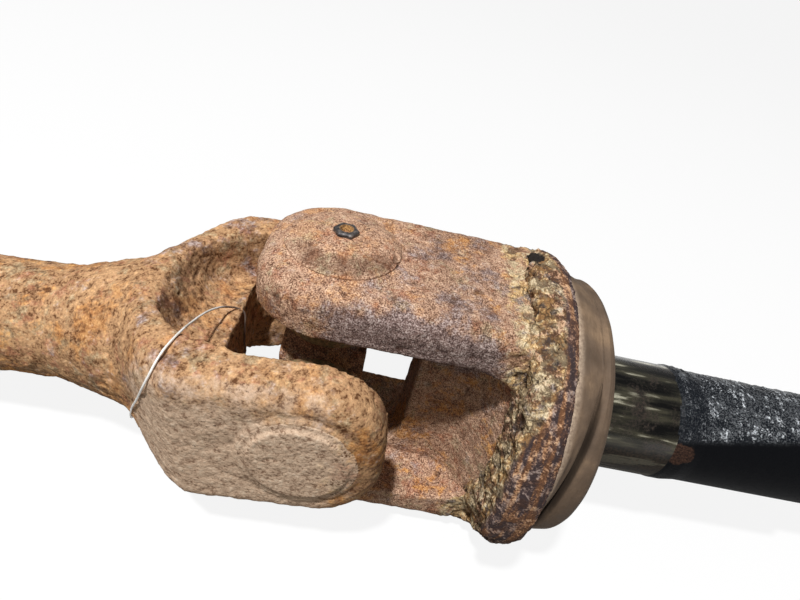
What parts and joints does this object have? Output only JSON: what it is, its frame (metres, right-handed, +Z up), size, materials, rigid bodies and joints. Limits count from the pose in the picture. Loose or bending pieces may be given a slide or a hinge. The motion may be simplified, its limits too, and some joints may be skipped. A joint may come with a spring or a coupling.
{
  "type": "steering axle shaft",
  "caption": "Steering axle shaft: a long inner shaft and a splined outer stub shaft joined by a forged universal joint, with a round dust slinger and a rubber seal.",
  "frame": {"origin": "centre of the universal joint, where the axes of both shafts and both pins cross", "axes": "+X outwards along the stub shaft to the wheel hub, +Z up along the pin axis of the stub yoke, Y along the pin axis of the inner yoke"},
  "size_m": [0.7258, 0.1188, 0.1181],
  "materials": {
    "rusty_forging": "heavy orange-brown rust",
    "stub_forging": "rusted yoke, oily black shaft",
    "cross_steel": "dark brown oily rust",
    "slinger_scale": "thick flaking pale scale",
    "seal_case_steel": "dull pressed steel",
    "seal_rubber": "dusty matt brown rubber",
    "fitting_steel": "dark oxide",
    "bearing_steel": "ground bearing steel",
    "cup_steel": "granular rust",
    "clip_steel": "dark spring steel",
    "cup_seal_rubber": "black rubber",
    "guard_steel": "olive-brown pressed steel"
  },
  "bodies": {
    "stub": {"stub_shaft": "stub_forging", "dust_slinger": "slinger_scale", "seal_case": "seal_case_steel", "shaft_seal": "seal_rubber", "grease_fitting": "fitting_steel", "fitting_ball": "bearing_steel", "bearing_cup_upper": "cup_steel", "needle_rollers_upper": "bearing_steel", "snap_clip_upper": "clip_steel", "bearing_cup_lower": "cup_steel", "needle_rollers_lower": "bearing_steel", "snap_clip_lower": "clip_steel"},
    "cross": {"joint_cross": "cross_steel", "thrust_washer_upper": "bearing_steel", "cup_seal_upper": "cup_seal_rubber", "seal_guard_upper": "guard_steel", "thrust_washer_lower": "bearing_steel", "cup_seal_lower": "cup_seal_rubber", "seal_guard_lower": "guard_steel", "thrust_washer_near": "bearing_steel", "cup_seal_near": "cup_seal_rubber", "seal_guard_near": "guard_steel", "thrust_washer_far": "bearing_steel", "cup_seal_far": "cup_seal_rubber", "seal_guard_far": "guard_steel"},
    "inner": {"inner_shaft": "rusty_forging", "bearing_cup_near": "cup_steel", "needle_rollers_near": "bearing_steel", "snap_clip_near": "clip_steel", "bearing_cup_far": "cup_steel", "needle_rollers_far": "bearing_steel", "snap_clip_far": "clip_steel"}
  },
  "joints": [
    {"name": "stub_pin_hinge", "type": "hinge", "parent": "stub", "child": "cross", "pos_m": [0, 0, 0], "axis": [0, 0, 1], "range_deg": [-30, 30]},
    {"name": "inner_pin_hinge", "type": "hinge", "parent": "cross", "child": "inner", "pos_m": [0, 0, 0], "axis": [0, 1, 0], "range_deg": [-25, 35]}
  ]
}
